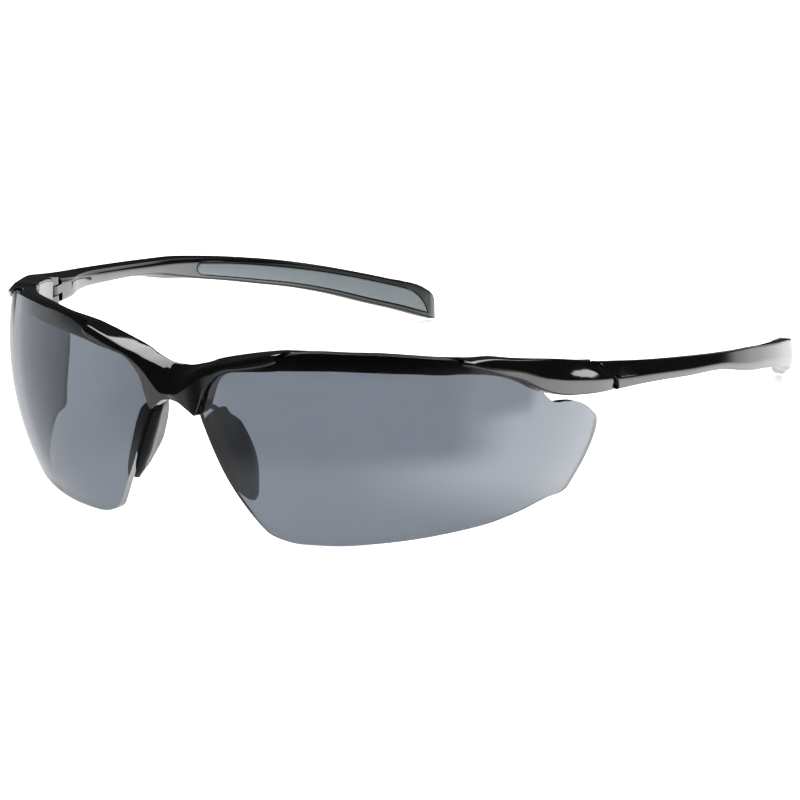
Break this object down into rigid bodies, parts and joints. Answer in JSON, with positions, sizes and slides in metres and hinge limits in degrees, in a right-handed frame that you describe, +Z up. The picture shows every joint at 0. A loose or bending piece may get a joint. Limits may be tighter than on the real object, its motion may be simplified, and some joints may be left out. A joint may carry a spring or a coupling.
{
  "type": "safety glasses",
  "caption": "Wraparound semi-rimless safety glasses with smoke toric lenses, a glossy black frame, soft nose pads and folding temples with soft inlays.",
  "frame": {"origin": "centre of the bounding box on the surface the open glasses stand on", "axes": "+Z up; the wearer looks along -Y; +X is the wearer's left"},
  "size_m": [0.1486, 0.1623, 0.0413],
  "materials": {
    "black_plastic": "polished gloss black moulded nylon",
    "smoke_lens": "clear polished smoke-tinted polycarbonate",
    "black_rubber": "satin soft rubber",
    "grey_rubber": "satin soft grey rubber",
    "steel": "plain steel"
  },
  "bodies": {
    "front": {"frame_front": "black_plastic", "lens_left": "smoke_lens", "lens_right": "smoke_lens", "nose_pad_left": "black_rubber", "nose_pad_right": "black_rubber", "nose_pad_wire_left": "steel", "nose_pad_wire_right": "steel", "hinge_screw_left": "steel", "hinge_screw_right": "steel"},
    "temple_left": {"temple_left": "black_plastic", "temple_grip_left": "grey_rubber"},
    "temple_right": {"temple_right": "black_plastic", "temple_grip_right": "grey_rubber"}
  },
  "joints": [
    {"name": "temple_left_fold", "type": "hinge", "parent": "front", "child": "temple_left", "pos_m": [0.0659, -0.0299, 0.0307], "axis": [0, 0, 1], "range_deg": [0, 90]},
    {"name": "temple_right_fold", "type": "hinge", "parent": "front", "child": "temple_right", "pos_m": [-0.0659, -0.0299, 0.0307], "axis": [0, 0, 1], "range_deg": [-82, 0]}
  ]
}
